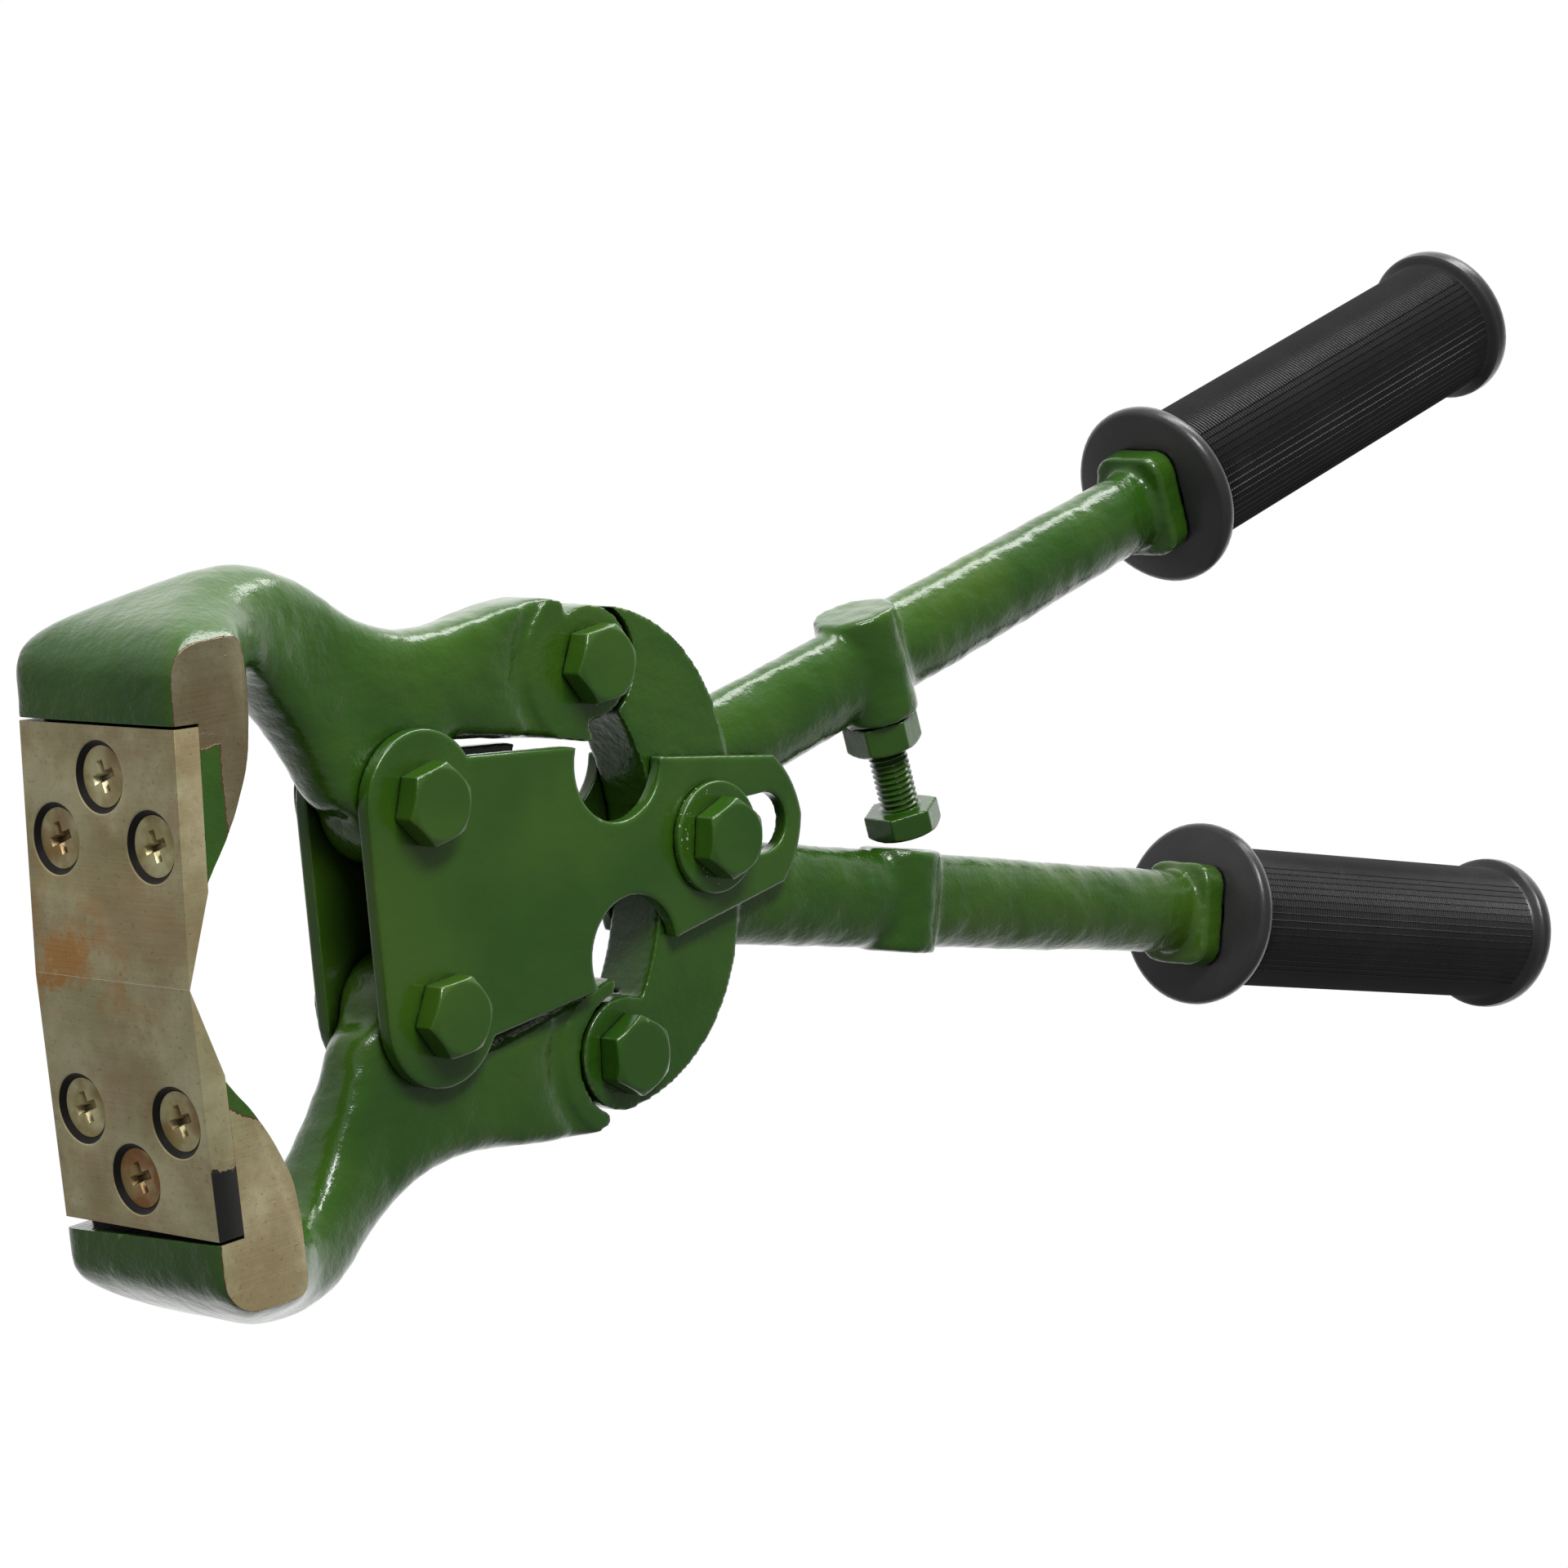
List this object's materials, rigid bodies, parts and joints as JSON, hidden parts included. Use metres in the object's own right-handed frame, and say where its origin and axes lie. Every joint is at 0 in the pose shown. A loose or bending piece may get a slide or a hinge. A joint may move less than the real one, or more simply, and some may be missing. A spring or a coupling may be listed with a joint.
{
  "type": "bolt cutters",
  "caption": "Compound-action end-cutting nippers with broad straight blades screwed to forged jaws, two side plates, oval steel handles, rubber grips and a stop screw.",
  "frame": {"origin": "middle of the tool's box, on the surface that it lies on", "axes": "+X from the blades to the grips, +Y towards the upper jaw and handle, +Z along the bolts towards their heads"},
  "size_m": [0.5065, 0.219, 0.0532],
  "materials": {
    "green_paint": "glossy hand-applied enamel over cast and forged steel, with runs, chips and bare ground patches",
    "painted_fasteners": "glossy enamel over steel hex fasteners",
    "blade_steel": "ground tool steel with tan tint and light rust",
    "yellow_zinc": "worn yellow-zinc plating",
    "bare_steel": "turned and oiled",
    "black_rubber": "ribbed moulded rubber, satin"
  },
  "bodies": {
    "frame": {"side_plate_front": "green_paint", "side_plate_back": "green_paint", "jaw_pivot_bolt_upper": "painted_fasteners", "jaw_pivot_bolt_lower": "painted_fasteners", "jaw_pivot_nut_upper": "painted_fasteners", "jaw_pivot_nut_lower": "painted_fasteners"},
    "jaw_upper": {"jaw_upper": "green_paint", "blade_upper": "blade_steel", "blade_screws_upper": "yellow_zinc"},
    "jaw_lower": {"jaw_lower": "green_paint", "blade_lower": "blade_steel", "blade_screws_lower": "yellow_zinc"},
    "centre_pin": {"centre_bolt": "painted_fasteners", "centre_nut": "painted_fasteners", "centre_bush": "bare_steel", "centre_washer_front": "painted_fasteners", "centre_washer_back": "painted_fasteners"},
    "handle_upper": {"handle_upper": "green_paint", "grip_upper": "black_rubber", "link_bolt_upper": "painted_fasteners", "link_nut_upper": "painted_fasteners"},
    "handle_lower": {"handle_lower": "green_paint", "grip_lower": "black_rubber", "link_bolt_lower": "painted_fasteners", "link_nut_lower": "painted_fasteners"},
    "stop_screw": {"stop_screw": "painted_fasteners"},
    "stop_nut": {"stop_lock_nut": "painted_fasteners"}
  },
  "joints": [
    {"name": "centre_slide", "type": "slide", "parent": "frame", "child": "centre_pin", "axis": [1, 0, 0], "range_m": [0, 0.0175]},
    {"name": "handle_upper_swing", "type": "hinge", "parent": "centre_pin", "child": "handle_upper", "pos_m": [-0.07997, 0, 0.0262], "axis": [0, 0, 1], "range_deg": [0, 19]},
    {"name": "handle_lower_swing", "type": "hinge", "parent": "centre_pin", "child": "handle_lower", "pos_m": [-0.07997, 0, 0.0262], "axis": [0, 0, -1], "range_deg": [0, 19]},
    {"name": "jaw_upper_pivot", "type": "hinge", "parent": "frame", "child": "jaw_upper", "pos_m": [-0.16987, 0.0244, 0.0262], "axis": [0, 0, -1], "range_deg": [0, 11.5]},
    {"name": "jaw_lower_pivot", "type": "hinge", "parent": "frame", "child": "jaw_lower", "pos_m": [-0.16987, -0.0244, 0.0262], "axis": [0, 0, 1], "range_deg": [0, 11.5]},
    {"name": "stop_screw_travel", "type": "slide", "parent": "handle_upper", "child": "stop_screw", "axis": [-0.2148, 0.9767, 0], "range_m": [0, 0.014]},
    {"name": "stop_nut_spin", "type": "hinge", "parent": "handle_upper", "child": "stop_nut", "pos_m": [-0.0049, 0.01577, 0.0262], "axis": [-0.2148, 0.9767, 0], "continuous": true}
  ],
  "couplings": [
    {"joint": "centre_slide", "follows": "handle_upper_swing", "m_per_rad": 0.05205},
    {"joint": "handle_lower_swing", "follows": "handle_upper_swing", "ratio": 1},
    {"joint": "jaw_upper_pivot", "follows": "handle_upper_swing", "ratio": 0.5991},
    {"joint": "jaw_lower_pivot", "follows": "handle_upper_swing", "ratio": 0.5991}
  ]
}
